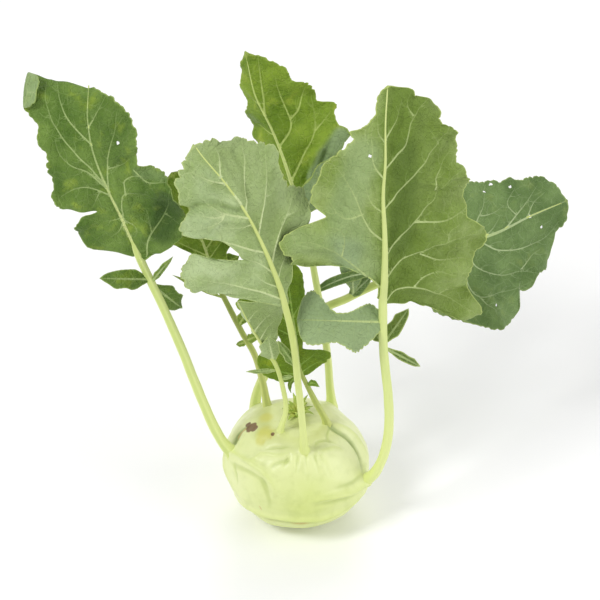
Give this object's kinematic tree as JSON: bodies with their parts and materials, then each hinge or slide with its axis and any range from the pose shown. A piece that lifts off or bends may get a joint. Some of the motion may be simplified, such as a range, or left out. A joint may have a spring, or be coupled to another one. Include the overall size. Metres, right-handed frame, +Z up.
{
  "type": "kohlrabi",
  "caption": "Fresh kohlrabi: a round pale green swollen stem with long-stalked lobed leaves, standing on its cut root.",
  "frame": {"origin": "middle of the small flat cut root face on which the bulb rests", "axes": "+Z up out of the bulb; -Y towards the leaf that shows its underside in front; +X to the right of it"},
  "size_m": [0.2913, 0.1808, 0.2684],
  "materials": {
    "bulb_skin": "waxy pale green skin",
    "young_leaf": "soft young leaf",
    "leaf_green": "veined leaf, upper side",
    "leaf_underside": "grey-green veined leaf, underside",
    "stalk": "smooth pale leaf stalk"
  },
  "bodies": {
    "root": {"bulb": "bulb_skin", "crown": "young_leaf", "leaf_front": "leaf_underside", "leaf_right": "leaf_underside", "leaf_left": "leaf_green", "leaf_back": "leaf_green", "leaf_far_right": "leaf_green", "leaf_back_left": "leaf_green", "leaf_inner_left": "leaf_underside", "leaf_inner_right": "leaf_green"}
  },
  "joints": []
}
